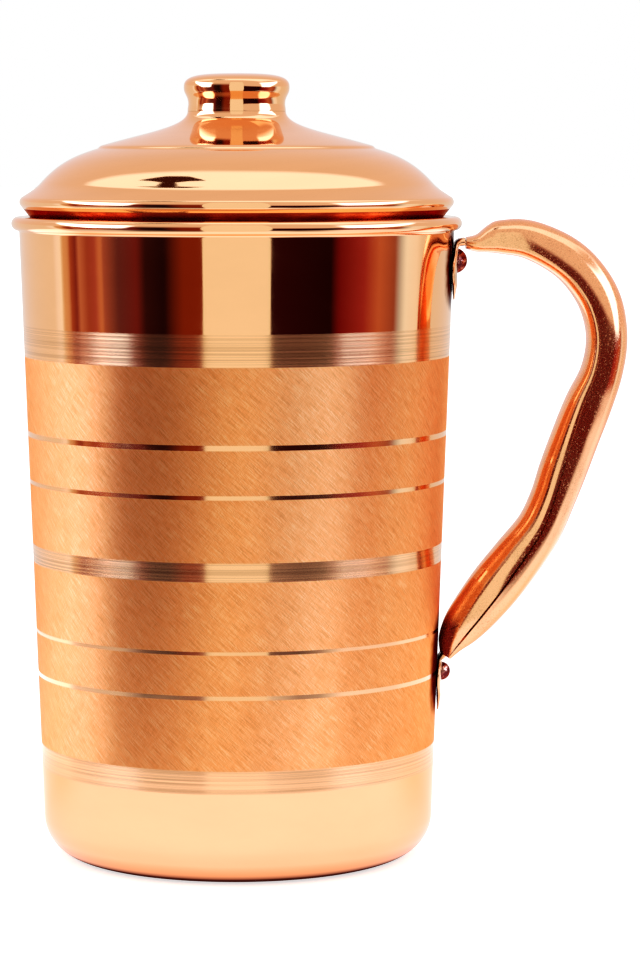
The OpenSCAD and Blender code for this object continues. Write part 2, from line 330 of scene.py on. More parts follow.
class Nodes:
    """Short forms for building the node tree of a material or a world."""

    def __init__(self, owner):
        owner.use_nodes = True
        self.owner = owner
        self.tree = owner.node_tree
        self.shader = self.tree.nodes.get("Principled BSDF")

    def add(self, kind, **values):
        """A new node. Each value goes to the node's own setting of that name,
        or else to its input of that name."""
        node = self.tree.nodes.new(kind)
        for key, value in values.items():
            if hasattr(node, key):
                setattr(node, key, value)
            else:
                node.inputs[key.replace("_", " ")].default_value = value
        return node

    def link(self, source, target):
        """Joins an output socket to an input socket."""
        self.tree.links.new(source, target)

    def math(self, operation, a, b=0):
        """A calculation on two numbers or sockets."""
        node = self.add("ShaderNodeMath", operation=operation)
        for socket, value in zip(node.inputs, (a, b)):
            if isinstance(value, (int, float)):
                socket.default_value = value
            else:
                self.link(value, socket)
        return node.outputs[0]

    def product(self, *factors):
        """Numbers and sockets multiplied together."""
        result = factors[0]
        for factor in factors[1:]:
            result = self.math("MULTIPLY", result, factor)
        return result

    def apart(self, a, b):
        """How far two numbers or sockets are from each other."""
        return self.math("ABSOLUTE", self.math("SUBTRACT", a, b))

    def mix(self, factor, a, b):
        """Blend of two colours, given as tuples or sockets."""
        node = self.add("ShaderNodeMix", data_type="RGBA")
        self.link(factor, node.inputs["Factor"])
        for socket, value in zip(node.inputs[6:8], (a, b)):
            if isinstance(value, tuple):
                socket.default_value = (*value, 1)
            else:
                self.link(value, socket)
        return node.outputs[2]

    def stretched_noise(self, coordinate, angle, scale, detail=3.0, rough=0.6):
        """Noise in UV space, turned by angle and stretched, sizes per metre."""
        turn = self.add("ShaderNodeMapping", vector_type="POINT")
        turn.inputs["Rotation"].default_value = (0, 0, math.radians(angle))
        self.link(coordinate, turn.inputs["Vector"])
        squeeze = self.add("ShaderNodeMapping", vector_type="POINT")
        squeeze.inputs["Scale"].default_value = scale
        self.link(turn.outputs[0], squeeze.inputs["Vector"])
        node = self.add("ShaderNodeTexNoise", Scale=1.0, Detail=detail, Roughness=rough)
        self.link(squeeze.outputs[0], node.inputs["Vector"])
        return node.outputs["Fac"]

    def ramp(self, factor, stops):
        """Colours along factor, given as (place, colour) stops."""
        node = self.add("ShaderNodeValToRGB")
        elements = node.color_ramp.elements
        elements[0].position, elements[0].color = stops[0][0], (*stops[0][1], 1)
        elements[1].position, elements[1].color = stops[-1][0], (*stops[-1][1], 1)
        for place, colour in stops[1:-1]:
            elements.new(place).color = (*colour, 1)
        self.link(factor, node.inputs["Fac"])
        return node.outputs["Color"]

    def spread(self, factor, low, high, lowest=0.0, highest=1.0, smooth=False):
        """factor's range from low to high, mapped onto lowest to highest."""
        node = self.add("ShaderNodeMapRange")
        if smooth:
            node.interpolation_type = "SMOOTHSTEP"
        for key, value in (("From Min", low), ("From Max", high),
                           ("To Min", lowest), ("To Max", highest)):
            node.inputs[key].default_value = value
        self.link(factor, node.inputs["Value"])
        return node.outputs[0]

    def edge(self, value, soft):
        """0 where value is negative and 1 where it is positive, with a soft
        change between."""
        return self.spread(value, -soft, soft, smooth=True)

    def bump(self, height, distance, below=None):
        """Relief of that depth in metres, laid over another if one is below."""
        node = self.add("ShaderNodeBump", Strength=1.0, Distance=distance)
        self.link(height, node.inputs["Height"])
        if below is not None:
            self.link(below, node.inputs["Normal"])
        return node.outputs["Normal"]

    def metal(self, colour, edge, roughness, anisotropic=0.0, rotation=0.0):
        """Sets the shader to bare metal and returns its sockets."""
        sockets = self.shader.inputs
        sockets["Metallic"].default_value = 1.0
        sockets["Base Color"].default_value = (*colour, 1)
        sockets["Specular Tint"].default_value = (*edge, 1)
        sockets["Roughness"].default_value = roughness
        sockets["Anisotropic"].default_value = anisotropic
        sockets["Anisotropic Rotation"].default_value = rotation
        return sockets


def shaded(colour, share):
    """The colour at that share of its brightness."""
    return tuple(c * share for c in colour)


def painted_bracket_shade(n, sockets, colour, edge):
    """Gives the wall its colours, with painted shade round the two leaf
    brackets, where they darken the wall."""
    place = n.add("ShaderNodeTexCoord").outputs["Object"]
    axes = n.add("ShaderNodeSeparateXYZ")
    n.link(place, axes.inputs[0])
    x, y, z = axes.outputs
    turn = n.math("ABSOLUTE", n.math("ARCTAN2", y, x))
    across = n.math("POWER", n.math("DIVIDE", turn, BRACKET_SHADE_TURN), 3)
    shade_spots = []
    for height, reach in BRACKET_SHADES:
        upright = n.math("POWER", n.math("DIVIDE", n.apart(z, height), reach), 3)
        shade_spots.append(n.math("ADD", across, upright))
    clouds = n.add("ShaderNodeTexNoise", Scale=200.0, Detail=4.0, Roughness=0.6)
    n.link(place, clouds.inputs["Vector"])
    ragged = n.spread(clouds.outputs["Fac"], 0.3, 0.7, -0.15, 0.15)
    # Painted shade: near the brackets the colour and the edge tint go dark.
    painted_shade = n.spread(n.math("ADD", n.math("MINIMUM", *shade_spots), ragged), 1.3, 0.3, smooth=True)
    n.link(n.mix(painted_shade, colour, BRACKET_SHADE_COLOUR), sockets["Base Color"])
    n.link(n.mix(painted_shade, edge, BRACKET_SHADE_COLOUR), sockets["Specular Tint"])


def polished_copper(name, roughness=0.05):
    """Mirror finish with fine rings left by the spinning and a thin haze."""
    n = Nodes(bpy.data.materials.new(name))
    sockets = n.metal(COPPER, COPPER_EDGE, roughness)
    uv = n.add("ShaderNodeTexCoord").outputs["UV"]
    rings = n.stretched_noise(uv, 0, (12, 2200, 1), detail=2)
    ripple = n.stretched_noise(uv, 0, (60, 130, 1), detail=1)
    haze = n.stretched_noise(uv, 0, (40, 90, 1), detail=4)
    tint = n.ramp(haze, [(0.35, shaded(COPPER, 0.96)), (0.65, COPPER)])
    # Lays painted shade round the leaf brackets over the colours.
    painted_bracket_shade(n, sockets, tint, COPPER_EDGE)
    n.link(n.spread(haze, 0.3, 0.7, roughness * 0.7, roughness * 1.6), sockets["Roughness"])
    fine = n.bump(rings, 0.0000012)
    n.link(n.bump(ripple, 0.000012, below=fine), sockets["Normal"])
    return n.owner


def collar_shade_copper(name):
    """Dark brown-red cone under the brim, painted shade, with lighter and darker patches."""
    n = Nodes(bpy.data.materials.new(name))
    # This dark brown-red is painted shade from the brim above.
    shade_brown = (0.3, 0.05, 0.025)
    sockets = n.metal(shade_brown, (0.6, 0.25, 0.15), 0.2)
    uv = n.add("ShaderNodeTexCoord").outputs["UV"]
    stains = n.stretched_noise(uv, 0, (60, 200, 1), detail=5)
    tint = n.ramp(stains, [(0.35, shaded(shade_brown, 0.6)), (0.5, shade_brown), (0.72, (0.6, 0.2, 0.1))])
    n.link(tint, sockets["Base Color"])
    n.link(n.spread(stains, 0.3, 0.7, 0.3, 0.14), sockets["Roughness"])
    return n.owner


def turned_copper(name):
    """Rings cut by a tool on the lathe, between the mirror and the satin."""
    n = Nodes(bpy.data.materials.new(name))
    sockets = n.metal(COPPER, COPPER_EDGE, 0.2, anisotropic=0.85, rotation=0.25)
    uv = n.add("ShaderNodeTexCoord").outputs["UV"]
    rings = n.stretched_noise(uv, 0, (6, 1900, 1), detail=2)
    tint = n.ramp(rings, [(0.38, shaded(COPPER, 0.72)), (0.58, COPPER)])
    n.link(tint, sockets["Base Color"])
    n.link(n.bump(rings, 0.000006), sockets["Normal"])
    tangent = n.add("ShaderNodeTangent", direction_type="UV_MAP", uv_map="UVMap")
    n.link(tangent.outputs[0], sockets["Tangent"])
    return n.owner


def satin_copper(name):
    """Brushed finish: short fine scratches that all run down to the right."""
    n = Nodes(bpy.data.materials.new(name))
    colour = (0.92, 0.3, 0.092)
    edge = (1.0, 0.75, 0.55)
    sockets = n.metal(colour, edge, 0.4, anisotropic=0.95, rotation=0.125)
    uv = n.add("ShaderNodeTexCoord").outputs["UV"]
    slant = 47
    fine = n.stretched_noise(uv, slant, (180, 5200, 1), detail=2, rough=0.7)
    cross = n.stretched_noise(uv, -slant, (250, 3200, 1), detail=1)
    patches = n.stretched_noise(uv, slant, (60, 140, 1), detail=3)
    streaks = n.math("ADD", n.math("MULTIPLY", fine, 0.82), n.math("MULTIPLY", cross, 0.18))
    tint = n.ramp(streaks, [
        (0.37, shaded(colour, 0.76)), (0.5, colour), (0.63, (0.94, 0.44, 0.19)),
    ])
    # Lays painted shade round the leaf brackets over the colours.
    painted_bracket_shade(n, sockets, tint, edge)
    n.link(n.spread(patches, 0.3, 0.7, 0.37, 0.44), sockets["Roughness"])
    n.link(n.bump(streaks, 0.00004), sockets["Normal"])
    tangent = n.add("ShaderNodeTangent", direction_type="UV_MAP", uv_map="UVMap")
    n.link(tangent.outputs[0], sockets["Tangent"])
    return n.owner


def inside_copper(name):
    """The inside of the cup, a little dulled by water."""
    n = Nodes(bpy.data.materials.new(name))
    dull = (0.93, 0.5, 0.31)
    sockets = n.metal(dull, COPPER_EDGE, 0.36, anisotropic=0.4)
    uv = n.add("ShaderNodeTexCoord").outputs["UV"]
    blotches = n.stretched_noise(uv, 0, (45, 60, 1), detail=6, rough=0.65)
    rings = n.stretched_noise(uv, 0, (8, 1400, 1), detail=2)
    tint = n.ramp(blotches, [
        (0.3, (0.72, 0.33, 0.2)), (0.5, dull), (0.7, (0.97, 0.6, 0.42)),
    ])
    n.link(tint, sockets["Base Color"])
    n.link(n.spread(blotches, 0.3, 0.7, 0.5, 0.28), sockets["Roughness"])
    n.link(n.bump(rings, 0.00001), sockets["Normal"])
    return n.owner


def handle_copper(name):
    """Polished pressed sheet with soft clouds and fine specks of tarnish."""
    n = Nodes(bpy.data.materials.new(name))
    sockets = n.metal(COPPER, COPPER_EDGE, 0.09)
    sockets["Sheen Weight"].default_value = 0.3
    sockets["Sheen Roughness"].default_value = 0.9
    sockets["Sheen Tint"].default_value = (1.0, 0.1, 0.04, 1)
    place = n.add("ShaderNodeTexCoord").outputs["Object"]
    clouds = n.add("ShaderNodeTexNoise", Scale=70.0, Detail=4.0, Roughness=0.6)
    n.link(place, clouds.inputs["Vector"])
    specks = n.add("ShaderNodeTexNoise", Scale=2300.0, Detail=2.0, Roughness=0.6)
    n.link(place, specks.inputs["Vector"])
    both = n.math("MULTIPLY", clouds.outputs["Fac"], specks.outputs["Fac"])
    tint = n.ramp(both, [
        (0.15, shaded(COPPER, 0.7)), (0.22, shaded(COPPER, 0.93)), (0.3, COPPER),
    ])
    n.link(tint, sockets["Base Color"])
    smooth = n.spread(clouds.outputs["Fac"], 0.35, 0.65, 0.16, 0.07)
    dusty = n.spread(specks.outputs["Fac"], 0.57, 0.72, 0.0, 0.3)
    n.link(n.math("ADD", smooth, dusty), sockets["Roughness"])
    dents = n.add("ShaderNodeTexNoise", Scale=110.0, Detail=2.0, Roughness=0.5)
    n.link(place, dents.inputs["Vector"])
    n.link(n.bump(dents.outputs["Fac"], 0.00003), sockets["Normal"])
    return n.owner


def bracket_copper(name):
    """Pressed leaf, stained by the rivet, with painted shade on the side that faces the wall."""
    n = Nodes(bpy.data.materials.new(name))
    shade_brown = (0.14, 0.02, 0.015)
    sockets = n.metal(COPPER, COPPER_EDGE, 0.16)
    coordinates = n.add("ShaderNodeTexCoord")
    stains = n.add("ShaderNodeTexNoise", Scale=260.0, Detail=4.0, Roughness=0.6)
    n.link(coordinates.outputs["Object"], stains.inputs["Vector"])
    bright = n.ramp(stains.outputs["Fac"], [
        (0.38, shaded(COPPER, 0.6)), (0.5, shaded(COPPER, 0.9)), (0.6, COPPER),
    ])
    facing = n.add("ShaderNodeSeparateXYZ")
    n.link(coordinates.outputs["Normal"], facing.inputs[0])
    # Painted shade: faces turned towards the wall take the dark brown.
    outward = n.spread(facing.outputs[0], -0.5, 0.1, smooth=True)
    n.link(n.mix(outward, shade_brown, bright), sockets["Base Color"])
    n.link(n.spread(stains.outputs["Fac"], 0.3, 0.7, 0.26, 0.12), sockets["Roughness"])
    return n.owner


def rivet_copper(name):
    """Dark hammered rivet metal, worn bright on the high spots. The dark red-brown is partly
    tarnish and partly painted shade from the handle above.
    """
    n = Nodes(bpy.data.materials.new(name))
    worn = (0.75, 0.42, 0.28)
    # The dark colour is partly tarnish, partly painted shade from the handle.
    dark = (0.12, 0.02, 0.02)
    sockets = n.metal(dark, (0.7, 0.4, 0.35), 0.24)
    place = n.add("ShaderNodeTexCoord").outputs["Object"]
    marks = n.add("ShaderNodeTexNoise", Scale=800.0, Detail=3.0, Roughness=0.6)
    n.link(place, marks.inputs["Vector"])
    tint = n.ramp(marks.outputs["Fac"], [(0.45, dark), (0.58, (0.3, 0.08, 0.06)), (0.7, worn)])
    n.link(tint, sockets["Base Color"])
    n.link(n.spread(marks.outputs["Fac"], 0.3, 0.7, 0.34, 0.16), sockets["Roughness"])
    n.link(n.bump(marks.outputs["Fac"], 0.00025), sockets["Normal"])
    return n.owner


# ---------------------------------------------------------------- jug body


def wall_r(z):
    """Radius of the outside wall at height z."""
    return WALL_BOTTOM_R + (z - BASE_ROUND) * WALL_FLARE


def tool_marks(z):
    """Depth of the lathe tool's rings at height z: three waves of their own
    share, length and start."""
    waves = ((0.5, 0.93, 0), (0.3, 1.57, 1), (0.2, 0.61, 2))
    deepest = 0.012
    return deepest * sum(share * math.sin(2 * math.pi * z / length + start)
                         for share, length, start in waves)


def wall_path():
    """Outside of the wall from base to lip, with the name of each band."""
    lean = math.degrees(math.atan(WALL_FLARE))
    corner = arc(WALL_BOTTOM_R - BASE_ROUND, BASE_ROUND, BASE_ROUND, -90, -lean, 24)
    path = line((0, 0), corner[0], 2.0) + corner[:-1]
    zones = ["polished"] * len(path)
    tops = [band[0] for band in BANDS[1:]] + [WALL_TOP_Z - 0.6]
    start = corner[-1][1]
    fine_step, plain_step = 0.22, 1.5
    for (_, finish), top in zip(BANDS, tops):
        step = fine_step if finish == "turned" else plain_step
        n = max(1, math.ceil((top - start) / step))
        for i in range(n):
            z = start + (top - start) * i / n
            groove = tool_marks(z) if finish == "turned" and i else 0
            path.append((wall_r(z) + groove, z))
            zones.append(finish)
        start = top
    return path, zones


def lip_path():
    """The curled lip, from under it on the outside round to the inside."""
    under = WALL_TOP_Z
    lip = [(wall_r(under - 0.55), under - 0.55), (wall_r(under - 0.45), under - 0.45),
           (wall_r(under) + 0.05, under - 0.25), (wall_r(under) + 0.3, under + 0.05)]
    lip += arc(LIP_OUTER_R - LIP_ROUND, LIP_Z, LIP_ROUND, -70, 90, 20)
    lip += arc(MOUTH_R + LIP_ROUND, LIP_Z, LIP_ROUND, 90, 262, 22)
    return lip


def inside_path():
    """The inside of the cup from under the lip down to the middle."""
    top = WALL_TOP_Z - 1
    corner_r = WALL_BOTTOM_R - BASE_ROUND
    inner = [(wall_r(WALL_TOP_Z) - SHEET, WALL_TOP_Z - 0.5)]
    inner += line((wall_r(top) - SHEET, top), (WALL_BOTTOM_R - SHEET, BASE_ROUND), 3.0)
    inner += arc(corner_r, BASE_ROUND, BASE_ROUND - SHEET, 0, -90, 14)
    inner += line((corner_r - 1, SHEET), (0, SHEET), 3.0)
    inner.append((0, SHEET))
    return inner


def build_body():
    """The cup, with a band of its own finish for each stretch of the wall."""
    materials = {
        "polished": polished_copper("polished_copper"),
        "turned": turned_copper("turned_copper"),
        "satin": satin_copper("satin_copper"),
        "stripe": polished_copper("stripe_copper", 0.12),
        "inside": inside_copper("inside_copper"),
    }
    path, zones = wall_path()
    for stretch, finish in ((lip_path(), "polished"), (inside_path(), "inside")):
        path += stretch
        zones += [finish] * len(stretch)
    body = lathe("jug_body_spun", path, zones, materials, segments=320, wobble=0.03)
    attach(body, "jug")
    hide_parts("jug_body")
    return materials


# ---------------------------------------------------------------- lid


def on_cone(distance):
    """The point of the brim's cone that far below the rounded nose."""
    nose_x = BRIM_R - NOSE_R
    return (nose_x + NOSE_R * math.cos(CONE_LEAN) - distance * math.sin(CONE_LEAN),
            BRIM_Z - NOSE_R * math.sin(CONE_LEAN) - distance * math.cos(CONE_LEAN))


def cone_x(z):
    """Radius of the brim's cone at height z."""
    top_x, top_z = on_cone(0)
    return top_x - (top_z - z) * math.tan(CONE_LEAN)


def dome_path():
    """The lid's outside: neck, flared top, raised ring, shoulder, hollow above
    the brim, rounded nose and the start of the cone."""
    neck_r = FOOT_R - 0.9
    path = [(neck_r, FOOT_Z + 3.2), (neck_r, FOOT_Z + 0.3)]
    path += bezier((FOOT_R - 0.1, FOOT_Z), (FOOT_R + 0.1, FOOT_Z - 4.1),
                   (RING_R - 12.6, RING_Z + 3.7), (RING_R - 0.5, RING_Z + 0.15), 28)
    path += [(RING_R - 0.25, RING_Z + 0.02), (RING_R, RING_Z - 0.16), (RING_R + 0.2, RING_Z - 0.38)]
    path += bezier((RING_R + 0.45, RING_Z - 0.62), (RING_R + 6.4, RING_Z - 2.4),
                   (SHOULDER_R - 4.8, SHOULDER_Z + 5.5), (SHOULDER_R, SHOULDER_Z), 24)
    path += bezier((SHOULDER_R, SHOULDER_Z), (SHOULDER_R + 1.1, SHOULDER_Z - 1.25),
                   (SHOULDER_R + 3.28, SHOULDER_Z - 2.52), (SHOULDER_R + 4.87, SHOULDER_Z - 3.56),
                   16)[1:-1]
    path += arc(BRIM_R - NOSE_R, BRIM_Z, NOSE_R, 57, -math.degrees(CONE_LEAN), 14)
    path += [on_cone(0.5), on_cone(1.0)]
    return path


def collar_path():
    """The cone that sits in the mouth, and the skirt under it."""
    skirt_r = cone_x(LIP_Z)
    return [on_cone(1.05), (cone_x(LIP_Z + 0.4), LIP_Z + 0.4), (skirt_r, LIP_Z - 0.4),
            (skirt_r, SKIRT_END)]


def knob_path():
    """The knob from the middle of its top down to its foot on the dome."""
    path = bezier((0, KNOB_TOP), (KNOB_R - 5, KNOB_TOP),
                  (KNOB_R, KNOB_TOP - 0.3), (KNOB_R, BELLY_Z), 20)
    path += bezier((KNOB_R, BELLY_Z - 0.3), (KNOB_R, BELLY_Z - 2.2),
                   (WAIST_R, WAIST_Z + 2.4), (WAIST_R, WAIST_Z), 14)
    path += [(FOOT_R - 0.12, FOOT_Z + 0.6), (FOOT_R - 0.1, FOOT_Z + 0.05)]
    return path


def build_lid(polished):
    """The lid's three pieces, which ride together."""
    materials = {"polished": polished, "collar": collar_shade_copper("collar_copper")}
    dome = sheet_ring("lid_dome_spun", dome_path(), "polished", materials, wobble=0.02)
    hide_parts("lid_dome")
    collar = sheet_ring("lid_collar_ring", collar_path(), "collar", materials)
    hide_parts("lid_collar")
    knob = sheet_ring("lid_knob_spun", knob_path(), "polished", materials, segments=192)
    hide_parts("lid_knob")
    for piece in (dome, collar, knob):
        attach(piece, "lid")


# ---------------------------------------------------------------- handle


def oval(half_w, depth, a):
    """A point of a half-oval arch a little fuller than an ellipse."""
    c, s = math.cos(a), math.sin(a)
    return (math.copysign(half_w * abs(c) ** 0.8, c), depth * abs(s) ** 0.8)


def seam_opening(share):
    """How far the seam gapes at that share of the handle's length: it opens
    past the middle and closes again just before the lower end."""
    return SEAM_GAP * max(0.0, min((share - 0.55) / 0.2, (1 - share) / 0.08, 1.0))


def swept_shell(name, side, material):
    """One half shell of the handle: a half-oval arch of sheet swept along the
    seam. side is 1 for the outer and -1 for the inner shell."""
    path = catmull(SEAM, steps=8)
    last = len(path) - 1
    arch = 36
    ring_n = 2 * (arch + 1)
    verts = []
    along = [0.0]
    for i, (x, z, outer_d, inner_d, half_w) in enumerate(path):
        a, b = path[max(i - 1, 0)], path[min(i + 1, last)]
        size = math.hypot(b[0] - a[0], b[1] - a[1])
        out = (-(b[1] - a[1]) / size * side, (b[0] - a[0]) / size * side)
        if i:
            along.append(along[-1] + math.dist(path[i][:2], path[i - 1][:2]))
        if side > 0:
            width, depth, gape = half_w, outer_d, seam_opening(i / last)
        else:
            width, depth, gape = half_w - SHELL_STEP, inner_d, 0.0
        section = [oval(width, depth, math.pi * k / arch) for k in range(arch + 1)]
        section += [
            oval(width - SHELL_T, max(depth - SHELL_T, 0.1), math.pi * k / arch)
            for k in range(arch, -1, -1)
        ]
        for y, n in section:
            n += gape
            verts.append(((x + out[0] * n) * MM, y * side * MM, (z + out[1] * n) * MM))
    faces, uvs = tube_faces(along, ring_n)
    for i, flip in ((0, True), (last, False)):
        for j in range(arch):
            face = [i * ring_n + q for q in (j, j + 1, ring_n - 2 - j, ring_n - 1 - j)]
            faces.append(face[::-1] if flip else face)
            uvs.append([(0, 0), (MM, 0), (MM, MM), (0, MM)])
    return make_object(name, verts, faces, uvs, [0] * len(faces), [material], crease=50)


def leaf_stations(width, tip_z, widest_z, top_z, top_share, rivet_z, head_d):
    """Cross-sections of a leaf on the wall from its tip up: the middle of the
    outer face, the middle of the inner face, half the width, and how much of
    the wall's curve it follows."""
    low, high = widest_z - tip_z, top_z - widest_z
    half, top = width / 2, width / 2 * top_share
    side = bezier((0.35, tip_z), (width * 0.14, tip_z + low * 0.22),
                  (half, widest_z - low * 0.62), (half, widest_z), 20)
    side += bezier((half, widest_z), (half, widest_z + high * 0.5),
                   (top, top_z - high * 0.3), (top, top_z), 12)[1:]
    seat = rivet_z - head_d / 2 - 0.3
    stations = []
    for w, z in side:
        below = max(0.0, (seat - z) / (seat - tip_z))
        gap = FIT_GAP + (TIP_GAP - FIT_GAP) * below ** 1.5
        thick = LEAF_T * min(1.0, 0.3 + 0.7 * (z - tip_z) / (low * 0.45))
        inner = wall_r(z) + gap
        stations.append(((inner + thick, z), (inner, z), w, 1.0))
    return stations


def leaf(name, stations, material):
    """A plate with rounded edges through the stations."""
    count = 32
    verts = []
    for outer, inner, half_w, curl in stations:
        middle = [(outer[k] + inner[k]) / 2 for k in range(2)]
        reach = [(outer[k] - inner[k]) / 2 for k in range(2)]
        for j in range(count):
            a = 2 * math.pi * (j + 0.5) / count
            y, n = oval(half_w, 1.0, a) if a < math.pi else oval(half_w, -1.0, a)
            n = math.copysign(min(1.0, abs(n) * 1.25), n)
            bow = (middle[0] - math.sqrt(middle[0] ** 2 - y * y)) * curl
            verts.append(((middle[0] + reach[0] * n - bow) * MM, y * MM,
                          (middle[1] + reach[1] * n) * MM))
    faces, uvs = tube_faces(range(len(stations)), count)
    last = (len(stations) - 1) * count
    faces.append(list(range(count))[::-1])
    faces.append(list(range(last, last + count)))
    uvs += [[(0, 0)] * count] * 2
    return make_object(name, verts, faces, uvs, [0] * len(faces), [material], crease=50)


def cuff_stations():
    """The upper leaf's top, bent out into a cuff that meets the handle, and
    the tongue on it that goes into the handle's neck."""
    foot_z = UPPER_LEAF["top_z"]
    wall = wall_r(CUFF_TOP_Z) + FIT_GAP
    end = SEAM[0][0] - CUFF_GAP
    steps = 12
    over = bezier((wall, foot_z + 0.3), (wall, CUFF_TOP_Z - 0.8),
                  (wall + 0.7, CUFF_TOP_Z), (end, CUFF_TOP_Z), steps)
    under = bezier((wall + LEAF_T, foot_z + 0.15), (wall + 1.3, CUFF_LOW_Z - 0.1),
                   (wall + 1.6, CUFF_LOW_Z), (end, CUFF_LOW_Z), steps)
    stations = []
    for i, (top, low) in enumerate(zip(over, under)):
        curl = 1 - i / steps
        stations.append((low, top, CUFF_HALF_W + 0.9 * curl, curl))
    for x in (end + 0.01, end + TONGUE_LEN):
        stations.append(((x, CUFF_LOW_Z), (x, CUFF_LOW_Z + TONGUE_T), TONGUE_HALF_W, 0.0))
    return stations


def bend_stations(leaf_top):
    """The lower leaf's top, bent out to the handle's lower end. leaf_top is
    the leaf's last station."""
    x, z = leaf_top[1][0] + LEAF_T / 2, LOWER_LEAF["top_z"]
    return [
        ((x + 1.2, z + 0.4), (x - 0.4, z + 0.9), 3.8, 0.6),
        ((x + 2.6, z + 1.9), (x + 0.7, z + 2.6), 3.4, 0.2),
        ((x + 4.4, z + 4), (x + 3, z + 5), 2.4, 0.0),
    ]


def build_leaves():
    """The two leaf brackets on the wall."""
    material = bracket_copper("bracket_copper")
    upper = leaf_stations(**UPPER_LEAF)
    upper += cuff_stations()
    lower = leaf_stations(**LOWER_LEAF)
    lower += bend_stations(lower[-1])
    for name, stations, node in (("upper_leaf_pressed", upper, "upper_leaf_bracket"),
                                 ("lower_leaf_pressed", lower, "lower_leaf_bracket")):
        plate = leaf(name, stations, material)
        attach(plate, "jug")
        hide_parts(node)


def build_handle():
    """The handle's two shells, and the metal of the two CAD rivets."""
    material = handle_copper("handle_copper")
    for name, side, node in (("handle_outer_pressed", 1, "handle_outer_shell"),
                             ("handle_inner_pressed", -1, "handle_inner_shell")):
        shell = swept_shell(name, side, material)
        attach(shell, "jug")
        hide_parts(node)
    rivet = rivet_copper("rivet_copper")
    for node in ("upper_rivet", "lower_rivet"):
        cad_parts[node].data.materials.clear()
        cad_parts[node].data.materials.append(rivet)


# ---------------------------------------------------------------- studio


# What stands round the jug at its own height: degrees from the camera's side
# towards the handle, then the light's colour
ROOM = [
    (-180, (0.8, 0.8, 0.8)),
    (-112, (0.88, 0.9, 0.95)),
    (-109, (1.0, 1.1, 1.3)),
    (-105.5, (1.05, 1.2, 1.35)),
    (-103.5, (0.7, 0.5, 0.35)),
    (-99, (0.65, 0.42, 0.3)),
    (-97, (0.35, 0.11, 0.06)),
    (-92.5, (0.2, 0.04, 0.04)),
    (-90, (0.5, 0.24, 0.18)),
    (-84, (0.32, 0.1, 0.07)),
    (-79, (0.36, 0.11, 0.1)),
    (-75, (0.6, 0.3, 0.2)),
    (-73, (0.33, 0.14, 0.12)),
    (-64, (0.13, 0.05, 0.06)),
    (-53, (0.16, 0.03, 0.03)),
    (-48, (0.04, 0.01, 0.01)),
    (-37, (0.02, 0.004, 0.006)),
    (-27, (0.2, 0.04, 0.01)),
    (-12, (0.21, 0.04, 0.01)),
    (-8, (0.05, 0.005, 0.01)),
    (52, (0.02, 0.002, 0.002)),
    (57, (0.16, 0.01, 0.01)),
    (72, (0.3, 0.05, 0.05)),
    (82, (0.49, 0.19, 0.12)),
    (93, (0.3, 0.12, 0.09)),
    (97, (0.5, 0.6, 0.8)),
    (102, (0.97, 1.2, 1.4)),
    (111, (1.0, 1.1, 1.2)),
    (116, (0.85, 0.85, 0.85)),
    (180, (0.8, 0.8, 0.8)),
]
BRIGHTEST = 9.4
TENT = (0.85, 0.76, 0.79)
LEFT_LAMP = (4.4, 6.1, 9.4)
RIGHT_LAMP = (3.1, 4.3, 6.6)
OVERHEAD = (1.45, 1.7, 2.0)
DARK_SHAPE = (0.06, 0.018, 0.012)

# The shiny table top repeats the room: degrees as in ROOM, then its light.
# Near the jug it is even, and warmer behind it.
TABLE = [
    (-180, 2.1), (-104, 2.1), (-98, 1.0), (-62, 0.7), (-50, 0.2), (-17, 0.2),
    (-14, 1.6), (12, 1.7), (26, 0.8), (32, 0.4), (44, 0.5), (58, 1.3), (95, 1.2),
    (101, 1.45), (180, 2.1),
]
TABLE_BRIGHTEST = 2.8
TABLE_TINT = (0.93, 1.0, 1.2)
TABLE_NEAR = 1.45
NEAR_TINT = (0.99, 0.99, 1.12)
NEAR_TINT_BEHIND = (0.93, 0.78, 0.7)

# The jug's own shadow on the table: how far out from CONTACT_FROM to
# CONTACT_TO in metres, as a share, then the light left there
CONTACT_FROM, CONTACT_TO = 0.04, 0.1
CONTACT = [
    (0.0, (0.03, 0.01, 0.01)),
    (0.09, (0.05, 0.015, 0.012)),
    (0.13, (0.8, 0.5, 0.42)),
    (0.22, (0.97, 0.84, 0.82)),
    (0.5, (1.0, 0.95, 0.95)),
    (1.0, (1.0, 1.0, 1.0)),
]


def dimmed(colour):
    """The colour as a share of the brightest light, which ramps can hold."""
    return shaded(colour, 1 / BRIGHTEST)


def axes_of(n, vector):
    """The x, y and z of a vector socket."""
    node = n.add("ShaderNodeSeparateXYZ")
    n.link(vector, node.inputs[0])
    return node.outputs


def round_the_jug(n, x, y, table):
    """The light that a table gives at the angle of x and y round the jug."""
    turn = n.math("ARCTAN2", x, n.math("MULTIPLY", y, -1.0))
    place = n.math("ADD", n.math("DIVIDE", turn, 2 * math.pi), 0.5)
    return n.ramp(place, [(deg / 360 + 0.5, light) for deg, light in table])


def tent_and_flags(n, x, y, z):
    """What stands round the jug, with a white tent behind it and over it. The
    tent comes lower on the handle's side."""
    at_height = round_the_jug(n, x, y, [(deg, dimmed(colour)) for deg, colour in ROOM])
    behind = n.product(n.spread(y, -0.35, -0.05, smooth=True),
                       n.spread(z, 0.05, 0.16, smooth=True))
    handle_from, raise_by = 0.06, 12
    aside = n.math("MAXIMUM", n.math("SUBTRACT", x, handle_from), 0)
    raised = n.math("ADD", n.math("MULTIPLY", aside, raise_by), 1)
    above = n.spread(n.math("MULTIPLY", z, raised), 0.12, 0.6, smooth=True)
    return n.mix(n.math("MAXIMUM", behind, above), at_height, dimmed(TENT))


